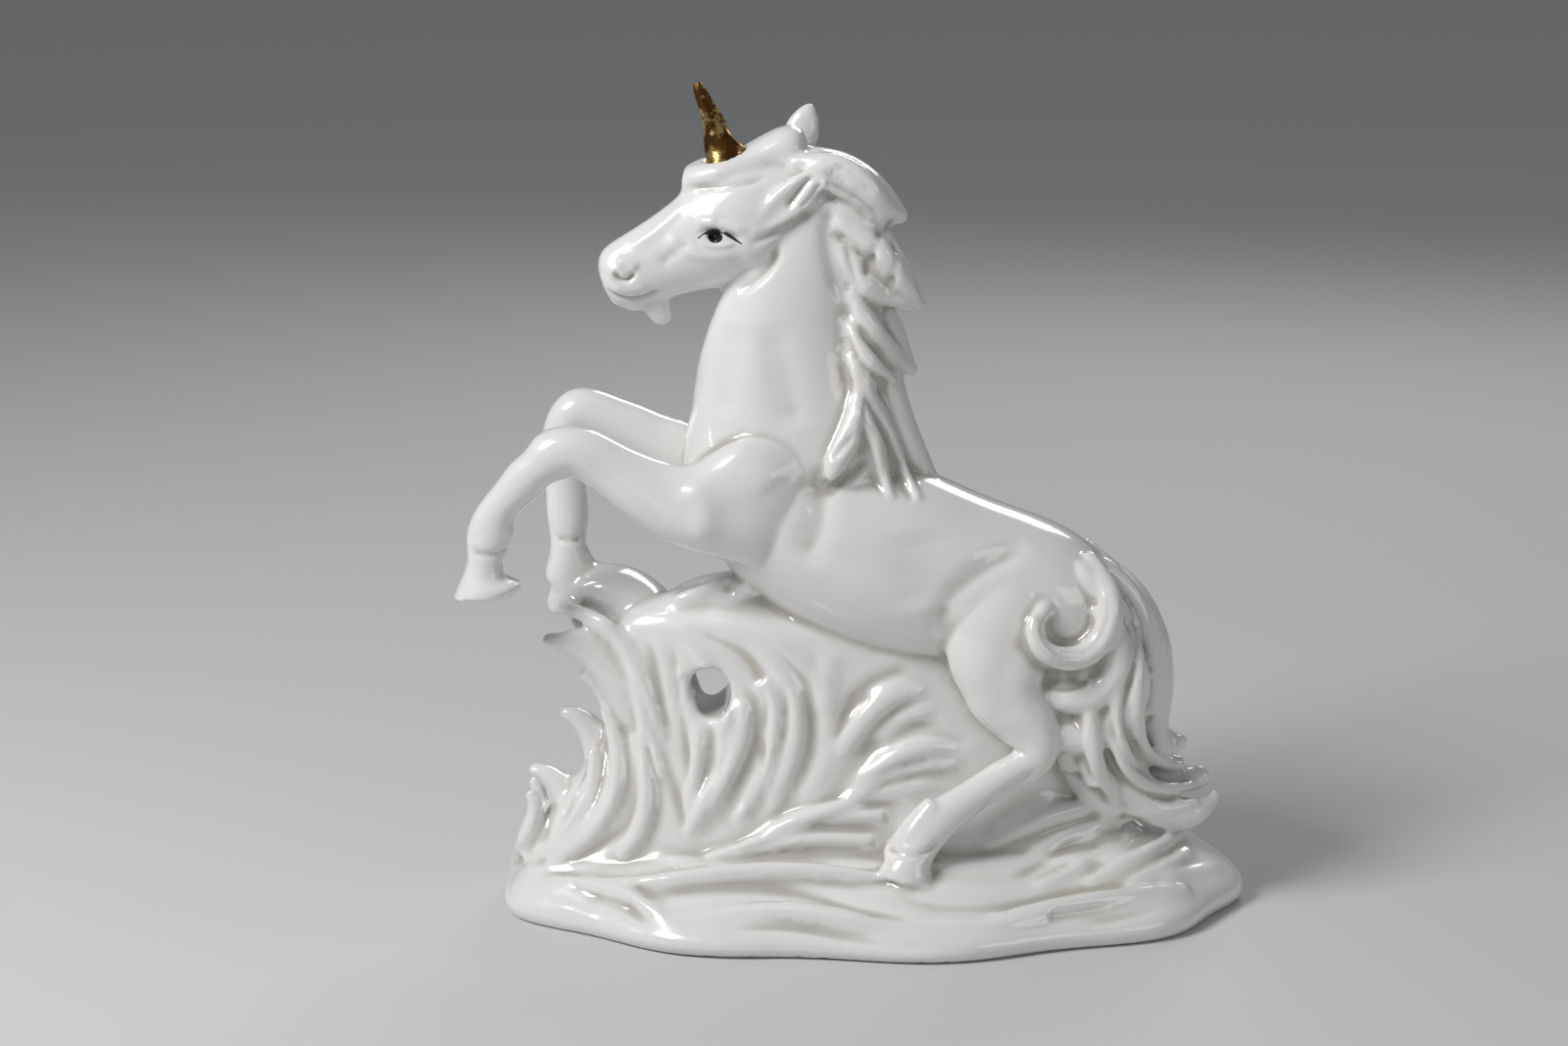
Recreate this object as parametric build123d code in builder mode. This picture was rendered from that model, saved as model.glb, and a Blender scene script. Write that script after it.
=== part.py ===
"""A rearing unicorn figurine in white glazed porcelain with a gilded horn, on a breaking wave.

The figure is slip-cast in several moulds, and the castings are stuck together with slip before
they are fired. Each casting is one solid here, cut to the shape of what it is stuck to.
The head looks along -X, +Y is the far side, +Z is up, and the origin is the middle of the foot.
"""

import os
from math import cos, pi, sin

from build123d import *

# Overall sizes, in millimetres. Places along X, Y and Z are shares of these three.
figure_length = 180.0
figure_height = 190.0
figure_depth = 92.0

# Porcelain walls and the passages that the slip and the kiln gases leave by.
body_wall = 4.0
vent_diameter = 8.0
slip_gap = 0.1
overrun = 4.0

# Horse: the thickest girth of each part in the side view, and its breadth across.
torso_girth = 44.5
torso_breadth = 40.0
neck_girth = 53.0
neck_breadth = 29.0
head_girth = 26.5
head_breadth = 21.0
cheek_diameter = 18.0
nostril_diameter = 5.2
chin_diameter = 6.4
brow_diameter = 6.0
foreleg_girth = 31.0
foreleg_breadth = 15.5
hind_leg_girth = 28.5
hind_leg_breadth = 19.0

# Head furniture.
horn_length = 20.8
horn_diameter = 10.2
horn_twist = 9.0
near_ear_length = 20.0
far_ear_length = 14.0
ear_width = 8.0
ear_thickness = 4.6
ear_channel_shift = 2.6
ear_channel_share = 0.7
eye_diameter = 3.4
beard_length = 8.5
beard_width = 6.2
beard_thickness = 3.6
forelock_girth = 8.5
forelock_breadth = 9.0

# Hair.
lock_girth = 12.5
lock_breadth = 9.5
tail_girth = 10.5
tail_breadth = 10.5
tail_curl_girth = 7.6
tail_curl_breadth = 7.0

# Wave and foot.
foot_length = 173.0
foot_depth = 92.0
foot_lobe = 1.6
foot_lobes = 9
wave_thickness = 30.0
crest_girth = 18.5
crest_breadth = 19.0
spray_girth = 13.5
spray_breadth = 10.0
ridge_girth = 8.0
ridge_breadth = 8.0
strand_girth = 5.2
ripple_girth = 4.8
window_width = 10.0
window_height = 12.0

# Number of steps in the taper of each kind of piece.
torso_count = 8
head_count = 10
leg_count = 20
lock_count = 6
tail_count = 14
strand_count = 5


def place(x_share, y_share, z_share):
    """A point given as shares of the figure's length, depth and height."""
    return Vector(x_share * figure_length, y_share * figure_depth, z_share * figure_height)


def ring(half_long, half_wide, count=8, middle=0, squareness=1, lobes=0, lobe=0, phase=0):
    """Points round an oval, which may be squarer or have shallow lobes."""
    points = []
    for step in range(count):
        turn = 2 * pi * step / count
        swell = lobe * cos(lobes * turn + phase)
        across = abs(sin(turn)) ** squareness * (1 if sin(turn) >= 0 else -1)
        points.append((middle + (half_long + swell) * cos(turn), (half_wide + swell) * across))
    return points


def stations(shares, girth, breadth, count, side=1):
    """Evenly spaced planes square to a smooth centreline, each with an oval's points.

    A row holds the centre's x, y and z shares, then the shares of the girth and of the breadth.
    """
    points = [place(x, side * y, z) for x, y, z, _, _ in shares]
    centreline = Edge.make_spline(points)
    reach = [0.0]
    for before, after in zip(points, points[1:]):
        reach.append(reach[-1] + (after - before).length)
    found = []
    for step in range(count + 1):
        run = reach[-1] * step / count
        index = max(i for i in range(len(points) - 1) if reach[i] <= run)
        mix = (run - reach[index]) / (reach[index + 1] - reach[index])
        girth_share = shares[index][3] + mix * (shares[index + 1][3] - shares[index][3])
        breadth_share = shares[index][4] + mix * (shares[index + 1][4] - shares[index][4])
        along = centreline % (step / count)
        inward = Vector(0, 1, 0).cross(along)
        level = Plane(centreline @ (step / count), x_dir=inward, z_dir=along)
        found.append((level, ring(girth * girth_share / 2, breadth * breadth_share / 2)))
    return found


def side_share(levels, x_share, z_share, squareness=1):
    """How far a stack of ovals reaches sideways at a place in the side view, as a depth share.

    A level holds its height share, then its middle, half length and half depth.
    """
    low, high = next(
        (low, high) for low, high in zip(levels, levels[1:]) if z_share <= max(high[0], low[0])
    )
    mix = max(z_share - low[0], 0) / (high[0] - low[0])
    middle, half_long, half_deep = (a + mix * (b - a) for a, b in zip(low[1:], high[1:]))
    across = min(abs(x_share * figure_length - middle) / half_long, strand_limit)
    return half_deep * (1 - across**2) ** (squareness / 2) / figure_depth


def on_face(row, levels, squareness=1):
    """Rows for stations, from rows of x, z and girth shares that lie on a stack's near face."""
    return [
        (x_share, -side_share(levels, x_share, z_share, squareness), z_share, size, size)
        for x_share, z_share, size in row
    ]


# Barrel and croup, from the breast to the root of the tail.
torso_shares = [
    (-0.212, 0.0, 0.545, 0.34, 0.45),
    (-0.165, 0.0, 0.520, 0.68, 0.78),
    (-0.100, 0.0, 0.481, 0.86, 0.93),
    (-0.035, 0.0, 0.450, 0.97, 0.99),
    (0.040, 0.0, 0.424, 1.00, 1.00),
    (0.121, 0.0, 0.404, 0.90, 0.94),
    (0.203, 0.0, 0.385, 0.80, 0.92),
    (0.272, 0.0, 0.352, 0.60, 0.78),
    (0.320, 0.0, 0.312, 0.34, 0.45),
]
cavity_shares = torso_shares[1:-1]
cavity_girth = torso_girth - 2 * body_wall
cavity_breadth = torso_breadth - 2 * body_wall

neck_shares = [
    (-0.098, 0.0, 0.520, 0.98, 1.10),
    (-0.102, 0.0, 0.586, 0.93, 0.98),
    (-0.107, 0.0, 0.634, 0.83, 0.86),
    (-0.106, 0.0, 0.693, 0.71, 0.76),
    (-0.096, 0.0, 0.752, 0.60, 0.68),
    (-0.082, 0.0, 0.811, 0.50, 0.62),
    (-0.076, 0.0, 0.863, 0.38, 0.56),
    (-0.078, 0.0, 0.900, 0.20, 0.36),
]

head_shares = [
    (-0.082, 0.0, 0.884, 0.48, 0.52),
    (-0.117, 0.0, 0.865, 0.88, 0.88),
    (-0.162, 0.0, 0.843, 1.00, 1.00),
    (-0.207, 0.0, 0.820, 0.89, 0.84),
    (-0.246, 0.0, 0.803, 0.74, 0.66),
    (-0.282, 0.0, 0.788, 0.65, 0.58),
    (-0.310, 0.0, 0.777, 0.60, 0.60),
    (-0.330, 0.0, 0.770, 0.44, 0.48),
    (-0.339, 0.0, 0.767, 0.20, 0.24),
]
cheek_place = (-0.150, 0.018, 0.828)
nostril_place = (-0.318, 0.042, 0.782)
chin_place = (-0.300, 0.0, 0.748)
brow_place = (-0.198, 0.072, 0.845)
eye_place = (-0.198, 0.086, 0.828)

foreleg_near_shares = [
    (-0.070, -0.055, 0.490, 0.60, 0.60),
    (-0.100, -0.095, 0.503, 0.94, 0.92),
    (-0.150, -0.128, 0.512, 1.00, 1.05),
    (-0.225, -0.142, 0.510, 0.66, 1.00),
    (-0.292, -0.143, 0.534, 0.46, 0.80),
    (-0.341, -0.142, 0.563, 0.38, 0.72),
    (-0.380, -0.142, 0.576, 0.375, 0.72),
    (-0.417, -0.141, 0.557, 0.34, 0.66),
    (-0.455, -0.140, 0.520, 0.28, 0.55),
    (-0.474, -0.138, 0.493, 0.295, 0.56),
    (-0.480, -0.137, 0.470, 0.37, 0.62),
    (-0.485, -0.135, 0.452, 0.28, 0.58),
    (-0.487, -0.134, 0.438, 0.30, 0.66),
    (-0.490, -0.133, 0.397, 0.37, 0.74),
]
foreleg_far_shares = [
    (-0.085, 0.055, 0.490, 0.60, 0.60),
    (-0.130, 0.095, 0.505, 0.84, 0.92),
    (-0.185, 0.115, 0.525, 0.70, 0.98),
    (-0.245, 0.118, 0.552, 0.45, 0.84),
    (-0.300, 0.120, 0.576, 0.37, 0.74),
    (-0.345, 0.120, 0.594, 0.36, 0.72),
    (-0.380, 0.120, 0.598, 0.36, 0.72),
    (-0.394, 0.120, 0.563, 0.33, 0.62),
    (-0.394, 0.120, 0.514, 0.29, 0.55),
    (-0.391, 0.120, 0.478, 0.34, 0.60),
    (-0.391, 0.120, 0.449, 0.265, 0.56),
    (-0.389, 0.120, 0.413, 0.35, 0.70),
    (-0.386, 0.120, 0.362, 0.36, 0.72),
]
hind_leg_shares = [
    (0.215, -0.050, 0.425, 0.50, 0.60),
    (0.200, -0.095, 0.405, 0.90, 0.90),
    (0.168, -0.130, 0.365, 1.00, 1.00),
    (0.162, -0.155, 0.313, 0.78, 0.82),
    (0.180, -0.168, 0.267, 0.57, 0.62),
    (0.206, -0.176, 0.232, 0.42, 0.50),
    (0.204, -0.186, 0.204, 0.33, 0.43),
    (0.172, -0.205, 0.187, 0.28, 0.42),
    (0.125, -0.232, 0.163, 0.27, 0.40),
    (0.083, -0.258, 0.136, 0.34, 0.46),
    (0.063, -0.272, 0.115, 0.30, 0.44),
    (0.050, -0.285, 0.095, 0.35, 0.50),
    (0.040, -0.300, 0.068, 0.42, 0.58),
]

horn_shares = [
    (-0.1, 0.98),
    (0.0, 1.0),
    (0.12, 0.94),
    (0.26, 0.78),
    (0.42, 0.60),
    (0.6, 0.46),
    (0.8, 0.33),
    (0.94, 0.24),
    (1.0, 0.13),
]
horn_root = (-0.176, 0.0, 0.900)
horn_end = (-0.216, 0.0, 0.995)
horn_lobes = 3
horn_lobe_share = 0.09
horn_ring_points = 18

# Ears: share of the length from root to tip, then width and thickness shares.
ear_shares = [(0.0, 0.55, 0.7), (0.3, 0.95, 1.0), (0.6, 1.0, 0.95), (0.85, 0.62, 0.7), (1.0, 0.2, 0.3)]
near_ear_root = (-0.143, -0.096, 0.836)
near_ear_way = (0.75, 0.0, 0.66)
far_ear_root = (-0.101, 0.075, 0.905)
far_ear_way = (0.30, 0.10, 0.95)

forelock_shares = [
    (-0.098, 0.0, 0.915, 1.10, 1.2),
    (-0.125, 0.0, 0.921, 1.15, 1.3),
    (-0.145, 0.0, 0.912, 0.95, 1.3),
    (-0.185, 0.0, 0.898, 1.00, 1.6),
    (-0.220, 0.0, 0.890, 0.90, 1.3),
    (-0.238, 0.0, 0.890, 0.55, 0.8),
]
beard_place = (-0.280, 0.0, 0.755)
beard_way = (0.45, 0.0, -0.89)
beard_shares = [(0.0, 0.75, 0.9), (0.4, 1.0, 1.0), (0.75, 0.85, 0.8), (1.0, 0.3, 0.4)]

# Mane: a pad of hair down the crest, four swept locks on it and one on each side of the withers.
mane_shares = [
    [
        (-0.070, 0.0, 0.905, 0.60, 0.90),
        (-0.044, 0.0, 0.866, 0.82, 1.35),
        (-0.028, 0.0, 0.806, 0.84, 1.40),
        (-0.016, 0.0, 0.748, 0.80, 1.40),
        (-0.006, 0.0, 0.690, 0.76, 1.35),
        (0.002, 0.0, 0.632, 0.74, 1.30),
        (0.014, 0.0, 0.575, 0.66, 1.20),
        (0.034, 0.0, 0.530, 0.40, 0.80),
    ],
    [
        (-0.090, 0.0, 0.908, 0.60, 0.90),
        (-0.052, -0.02, 0.896, 0.92, 1.20),
        (-0.012, -0.03, 0.874, 0.94, 1.00),
        (0.018, -0.02, 0.855, 0.62, 0.65),
        (0.042, 0.0, 0.843, 0.20, 0.22),
    ],
    [
        (-0.060, 0.0, 0.868, 0.72, 1.00),
        (-0.018, -0.02, 0.825, 1.00, 1.05),
        (0.015, -0.03, 0.784, 0.92, 0.85),
        (0.042, -0.02, 0.753, 0.58, 0.55),
        (0.065, 0.0, 0.738, 0.18, 0.22),
    ],
    [
        (-0.040, 0.0, 0.790, 0.70, 1.00),
        (-0.006, 0.02, 0.735, 0.94, 1.05),
        (0.020, 0.02, 0.693, 0.76, 0.85),
        (0.042, 0.01, 0.667, 0.46, 0.50),
        (0.057, 0.0, 0.657, 0.18, 0.22),
    ],
    [
        (-0.032, 0.0, 0.755, 0.70, 1.00),
        (0.000, -0.02, 0.672, 0.94, 1.05),
        (0.024, -0.03, 0.612, 0.78, 0.90),
        (0.056, -0.02, 0.556, 0.52, 0.60),
        (0.084, 0.0, 0.522, 0.20, 0.25),
    ],
    [
        (-0.036, -0.030, 0.755, 0.40, 0.60),
        (-0.014, -0.060, 0.700, 0.50, 0.72),
        (-0.012, -0.085, 0.655, 0.52, 0.72),
        (-0.022, -0.113, 0.612, 0.50, 0.72),
        (-0.040, -0.143, 0.574, 0.46, 0.62),
        (-0.058, -0.168, 0.540, 0.20, 0.28),
    ],
    [
        (-0.030, 0.020, 0.745, 0.40, 0.60),
        (-0.006, 0.055, 0.690, 0.50, 0.72),
        (0.004, 0.075, 0.640, 0.52, 0.72),
        (0.014, 0.088, 0.592, 0.52, 0.72),
        (0.030, 0.096, 0.548, 0.44, 0.62),
        (0.048, 0.105, 0.515, 0.20, 0.28),
    ],
]

tail_shares = [
    [
        (0.225, 0.00, 0.395, 0.60, 0.60),
        (0.272, 0.00, 0.418, 0.80, 0.80),
        (0.325, -0.02, 0.385, 0.95, 0.95),
        (0.360, -0.03, 0.320, 0.90, 0.95),
        (0.366, -0.03, 0.255, 0.76, 0.85),
        (0.370, -0.03, 0.214, 0.62, 0.70),
        (0.386, -0.03, 0.198, 0.50, 0.55),
        (0.402, -0.03, 0.212, 0.34, 0.40),
    ],
    [
        (0.225, 0.03, 0.392, 0.60, 0.60),
        (0.270, 0.05, 0.396, 0.90, 0.90),
        (0.315, 0.06, 0.355, 1.10, 1.20),
        (0.340, 0.05, 0.285, 1.10, 1.30),
        (0.343, 0.04, 0.218, 1.00, 1.20),
        (0.362, 0.03, 0.170, 0.84, 1.00),
        (0.404, 0.01, 0.150, 0.66, 0.80),
        (0.440, 0.00, 0.162, 0.34, 0.45),
    ],
    [
        (0.228, -0.03, 0.392, 0.60, 0.60),
        (0.266, -0.06, 0.377, 0.90, 0.90),
        (0.298, -0.08, 0.335, 1.10, 1.10),
        (0.318, -0.09, 0.270, 1.16, 1.20),
        (0.316, -0.09, 0.203, 1.10, 1.15),
        (0.345, -0.08, 0.146, 0.94, 1.00),
        (0.398, -0.06, 0.116, 0.76, 0.85),
        (0.450, -0.04, 0.140, 0.34, 0.40),
    ],
    [
        (0.245, -0.06, 0.375, 0.60, 0.60),
        (0.296, -0.11, 0.340, 1.00, 0.90),
        (0.322, -0.13, 0.292, 1.10, 0.90),
        (0.305, -0.14, 0.248, 1.05, 0.85),
        (0.268, -0.15, 0.226, 0.85, 0.75),
        (0.228, -0.16, 0.238, 0.55, 0.60),
        (0.206, -0.16, 0.262, 0.25, 0.35),
    ],
]
tail_curl_shares = [
    (0.245, -0.080, 0.410, 0.60, 0.80),
    (0.266, -0.125, 0.420, 0.90, 1.00),
    (0.288, -0.136, 0.395, 0.95, 1.05),
    (0.288, -0.150, 0.358, 0.95, 1.05),
    (0.266, -0.158, 0.334, 0.88, 1.00),
    (0.234, -0.185, 0.330, 0.80, 0.95),
    (0.209, -0.215, 0.346, 0.72, 0.90),
    (0.203, -0.217, 0.372, 0.62, 0.80),
    (0.222, -0.195, 0.392, 0.34, 0.45),
]

# Strands of water end this share of the way to the ends of the wave and of the foot.
strand_limit = 0.97

# Foot: share of the height, then of the length and depth.
foot_levels_shares = [(0.0, 0.985, 0.965), (0.012, 1.0, 1.0), (0.045, 0.965, 0.86), (0.085, 0.86, 0.55)]
foot_cavity_shares = [(0.018, 0.90, 0.84), (0.042, 0.87, 0.70), (0.062, 0.78, 0.42)]
vent_place = (0.13, 0.18)

# Wave: share of the height, middle and length as shares of the length, then the thickness share.
wave_levels_shares = [
    (0.060, -0.060, 0.800, 1.45),
    (0.110, -0.055, 0.740, 1.25),
    (0.165, -0.045, 0.660, 1.05),
    (0.220, -0.020, 0.640, 0.92),
    (0.275, -0.030, 0.600, 0.84),
    (0.325, -0.062, 0.536, 0.80),
    (0.360, -0.120, 0.400, 0.66),
    (0.392, -0.150, 0.190, 0.42),
]
wave_ring_points = 20
foot_ring_points = 45
squareness_share = 0.75

crest_shares = [
    (-0.215, 0.02, 0.215, 1.00, 1.00),
    (-0.265, 0.05, 0.300, 1.00, 1.00),
    (-0.305, 0.08, 0.360, 0.86, 0.95),
    (-0.350, 0.10, 0.382, 0.62, 0.85),
    (-0.392, 0.10, 0.370, 0.38, 0.55),
    (-0.410, 0.10, 0.350, 0.18, 0.28),
]
spray_shares = [
    [
        (-0.280, -0.03, 0.215, 1.00, 1.00),
        (-0.325, -0.04, 0.280, 0.62, 0.90),
        (-0.358, -0.04, 0.313, 0.48, 0.75),
        (-0.395, -0.04, 0.330, 0.36, 0.60),
        (-0.422, -0.04, 0.333, 0.16, 0.30),
    ],
    [
        (-0.305, -0.02, 0.180, 0.90, 1.00),
        (-0.325, -0.02, 0.242, 0.58, 0.80),
        (-0.348, -0.02, 0.273, 0.38, 0.60),
        (-0.376, -0.02, 0.287, 0.18, 0.30),
    ],
    [
        (-0.330, 0.02, 0.130, 0.90, 1.00),
        (-0.352, 0.02, 0.192, 0.60, 0.80),
        (-0.374, 0.02, 0.224, 0.42, 0.60),
        (-0.402, 0.02, 0.234, 0.20, 0.30),
    ],
    [
        (-0.375, 0.0, 0.065, 1.10, 1.60),
        (-0.392, 0.0, 0.122, 0.66, 1.10),
        (-0.412, 0.0, 0.152, 0.42, 0.70),
        (-0.443, 0.0, 0.164, 0.20, 0.35),
    ],
]
ridge_shares = [
    [
        (-0.236, -0.150, 0.085, 0.50, 0.60),
        (-0.200, -0.145, 0.140, 0.80, 0.90),
        (-0.182, -0.125, 0.195, 0.84, 1.00),
        (-0.186, -0.115, 0.250, 0.70, 0.90),
        (-0.215, -0.095, 0.315, 0.50, 0.70),
        (-0.262, -0.060, 0.362, 0.30, 0.45),
    ],
    [
        (-0.155, -0.155, 0.110, 0.50, 0.60),
        (-0.110, -0.145, 0.168, 0.90, 0.90),
        (-0.095, -0.125, 0.240, 1.00, 1.00),
        (-0.112, -0.110, 0.300, 0.90, 0.90),
        (-0.162, -0.090, 0.340, 0.62, 0.70),
        (-0.225, -0.060, 0.352, 0.30, 0.45),
    ],
    [
        (-0.052, -0.135, 0.165, 0.35, 0.50),
        (-0.022, -0.130, 0.230, 0.72, 0.85),
        (0.015, -0.120, 0.272, 0.80, 0.85),
        (0.055, -0.105, 0.288, 0.55, 0.65),
        (0.080, -0.095, 0.290, 0.24, 0.35),
    ],
    [
        (-0.060, -0.165, 0.120, 0.40, 0.50),
        (0.000, -0.150, 0.178, 0.80, 0.90),
        (0.050, -0.140, 0.208, 0.84, 0.95),
        (0.096, -0.130, 0.212, 0.55, 0.70),
        (0.120, -0.125, 0.208, 0.24, 0.35),
    ],
]
# Strands on both faces of the wave, each a row of x, z and girth shares.
strand_shares = [
    [(-0.321, 0.084, 0.5), (-0.292, 0.117, 1.0), (-0.288, 0.158, 1.0), (-0.300, 0.222, 0.6)],
    [(-0.413, 0.064, 0.4), (-0.365, 0.100, 0.9), (-0.334, 0.140, 1.0), (-0.325, 0.183, 0.9), (-0.344, 0.250, 0.5)],
    [(-0.433, 0.069, 0.4), (-0.388, 0.102, 0.8), (-0.363, 0.144, 0.9), (-0.358, 0.200, 0.6)],
    [(-0.293, 0.209, 0.4), (-0.296, 0.262, 0.8), (-0.317, 0.301, 0.9), (-0.352, 0.331, 0.8), (-0.388, 0.343, 0.4)],
    [(-0.233, 0.110, 0.5), (-0.206, 0.151, 1.0), (-0.178, 0.194, 1.0), (-0.163, 0.236, 0.9), (-0.166, 0.268, 0.5)],
    [(-0.171, 0.126, 0.4), (-0.141, 0.169, 0.8), (-0.124, 0.213, 0.9), (-0.124, 0.256, 0.9), (-0.142, 0.294, 0.8)],
    [(-0.039, 0.205, 0.4), (-0.014, 0.238, 0.8), (0.018, 0.268, 0.8), (0.063, 0.279, 0.4)],
    [(-0.029, 0.163, 0.4), (0.013, 0.181, 0.7), (0.063, 0.192, 0.7), (0.108, 0.189, 0.4)],
    [(-0.153, 0.099, 0.4), (-0.104, 0.124, 0.8), (-0.041, 0.136, 0.9), (0.016, 0.131, 0.6)],
    [(0.146, 0.096, 0.4), (0.209, 0.120, 0.8), (0.272, 0.129, 0.8), (0.327, 0.124, 0.4)],
    [(0.163, 0.068, 0.4), (0.235, 0.091, 0.8), (0.295, 0.106, 0.8), (0.344, 0.115, 0.4)],
]
# Ripples on the slope of the foot, on both sides.
ripple_shares = [
    [(-0.412, 0.051, 0.4), (-0.334, 0.055, 0.9), (-0.280, 0.044, 0.9), (-0.233, 0.026, 0.4)],
    [(-0.360, 0.058, 0.4), (-0.259, 0.067, 0.8), (-0.161, 0.078, 0.9), (-0.062, 0.080, 0.8), (0.012, 0.076, 0.4)],
    [(-0.184, 0.045, 0.4), (-0.104, 0.050, 0.9), (-0.031, 0.044, 1.0), (0.046, 0.034, 0.9), (0.131, 0.034, 0.8), (0.218, 0.040, 0.4)],
    [(0.144, 0.045, 0.4), (0.231, 0.049, 0.9), (0.321, 0.050, 0.9), (0.404, 0.046, 0.4)],
]
window_place = (-0.206, 0.275)
wave_levels = [
    (level, middle * figure_length, long_share * figure_length / 2, thick_share * wave_thickness / 2)
    for level, middle, long_share, thick_share in wave_levels_shares
]
foot_levels = [
    (level, 0, long_share * foot_length / 2, deep_share * foot_depth / 2)
    for level, long_share, deep_share in foot_levels_shares
]


# Torso: a barrel that swells at the ribs and the croup, cast hollow.
with BuildPart() as torso_form:
    for plane, outline in stations(torso_shares, torso_girth, torso_breadth, torso_count):
        with BuildSketch(plane):
            with BuildLine():
                Spline(*outline, periodic=True)
            make_face()
    loft()

with BuildPart() as torso:
    add(torso_form.part)
    for plane, outline in stations(cavity_shares, cavity_girth, cavity_breadth, torso_count):
        with BuildSketch(plane):
            with BuildLine():
                Spline(*outline, periodic=True)
            make_face()
    loft(mode=Mode.SUBTRACT)
torso.part.label = "torso"

# Foot: a low rounded island with a lobed rim, hollow, closed below, with one vent hole.
with BuildPart() as base_form:
    for level, long_share, deep_share in foot_levels_shares:
        outline = ring(
            foot_length * long_share / 2,
            foot_depth * deep_share / 2,
            count=foot_ring_points,
            lobes=foot_lobes,
            lobe=foot_lobe,
        )
        with BuildSketch(Plane.XY.offset(level * figure_height)):
            with BuildLine():
                Spline(*outline, periodic=True)
            make_face()
    loft()

with BuildPart() as base:
    add(base_form.part)
    for level, long_share, deep_share in foot_cavity_shares:
        with BuildSketch(Plane.XY.offset(level * figure_height)):
            Ellipse(foot_length * long_share / 2, foot_depth * deep_share / 2)
    loft(mode=Mode.SUBTRACT)
    ripples = []
    for row in ripple_shares:
        for side in (-1, 1):
            rows = on_face(row, foot_levels)
            for plane, outline in stations(rows, ripple_girth, ripple_girth, strand_count, -side):
                with BuildSketch(plane):
                    with BuildLine():
                        Spline(*outline, periodic=True)
                    make_face()
            ripples.append(loft(mode=Mode.PRIVATE))
    add(ripples)
    with BuildSketch(Plane.XY.offset(-overrun)):
        with Locations((vent_place[0] * figure_length, vent_place[1] * figure_depth)):
            Circle(vent_diameter / 2)
    extrude(amount=2 * overrun, mode=Mode.SUBTRACT)
base.part.label = "base"

# Wave: an upright wall of water with ridges, a curling crest, spray tips and leaves.
with BuildPart() as wave_form:
    for level, middle, long_share, thick_share in wave_levels_shares:
        outline = ring(
            figure_length * long_share / 2,
            wave_thickness * thick_share / 2,
            count=wave_ring_points,
            middle=figure_length * middle,
            squareness=squareness_share,
        )
        with BuildSketch(Plane.XY.offset(level * figure_height)):
            with BuildLine():
                Spline(*outline, periodic=True)
            make_face()
    loft()

with BuildPart() as wave:
    add(wave_form.part)
    for plane, outline in stations(crest_shares, crest_girth, crest_breadth, lock_count):
        with BuildSketch(plane):
            with BuildLine():
                Spline(*outline, periodic=True)
            make_face()
    loft()
    for row in spray_shares:
        for plane, outline in stations(row, spray_girth, spray_breadth, lock_count):
            with BuildSketch(plane):
                with BuildLine():
                    Spline(*outline, periodic=True)
                make_face()
        loft()
    for row in ridge_shares:
        for side in (-1, 1):
            for plane, outline in stations(row, ridge_girth, ridge_breadth, lock_count, side):
                with BuildSketch(plane):
                    with BuildLine():
                        Spline(*outline, periodic=True)
                    make_face()
            loft()
    strands = []
    for row in strand_shares:
        for side in (-1, 1):
            rows = on_face(row, wave_levels, squareness_share)
            for plane, outline in stations(rows, strand_girth, strand_girth, strand_count, side):
                with BuildSketch(plane):
                    with BuildLine():
                        Spline(*outline, periodic=True)
                    make_face()
            strands.append(loft(mode=Mode.PRIVATE))
    add(strands)
    with BuildSketch(Plane.XZ.offset(-wave_thickness)):
        with Locations((window_place[0] * figure_length, window_place[1] * figure_height)):
            Ellipse(window_width / 2, window_height / 2)
    extrude(amount=2 * wave_thickness, mode=Mode.SUBTRACT)
    add(base_form.part, mode=Mode.SUBTRACT)
    add(torso_form.part, mode=Mode.SUBTRACT)
wave.part.label = "wave"

# Neck: tall and arched, stuck on the front of the barrel.
with BuildPart() as neck:
    for plane, outline in stations(neck_shares, neck_girth, neck_breadth, torso_count):
        with BuildSketch(plane):
            with BuildLine():
                Spline(*outline, periodic=True)
            make_face()
    loft()
    add(torso_form.part, mode=Mode.SUBTRACT)
neck.part.label = "neck"

# Head: the skull and muzzle in one taper, with cheeks, brows, nostrils, a chin and eye sockets.
with BuildPart() as head:
    for plane, outline in stations(head_shares, head_girth, head_breadth, head_count):
        with BuildSketch(plane):
            with BuildLine():
                Spline(*outline, periodic=True)
            make_face()
    loft()
    for side in (-1, 1):
        with Locations(place(cheek_place[0], side * cheek_place[1], cheek_place[2])):
            Sphere(cheek_diameter / 2)
        with Locations(place(nostril_place[0], side * nostril_place[1], nostril_place[2])):
            Sphere(nostril_diameter / 2)
        with Locations(place(brow_place[0], side * brow_place[1], brow_place[2])):
            Sphere(brow_diameter / 2)
    with Locations(place(*chin_place)):
        Sphere(chin_diameter / 2)
    for side in (-1, 1):
        with Locations(place(eye_place[0], side * eye_place[1], eye_place[2])):
            Sphere(eye_diameter / 2, mode=Mode.SUBTRACT)
    add(neck.part, mode=Mode.SUBTRACT)
head.part.label = "head"

# Eyes: small balls bedded in the sockets.
with BuildPart() as eye_near:
    with Locations(place(eye_place[0], -eye_place[1], eye_place[2])):
        Sphere(eye_diameter / 2)
eye_near.part.label = "eye_near"

with BuildPart() as eye_far:
    with Locations(place(*eye_place)):
        Sphere(eye_diameter / 2)
eye_far.part.label = "eye_far"

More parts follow.
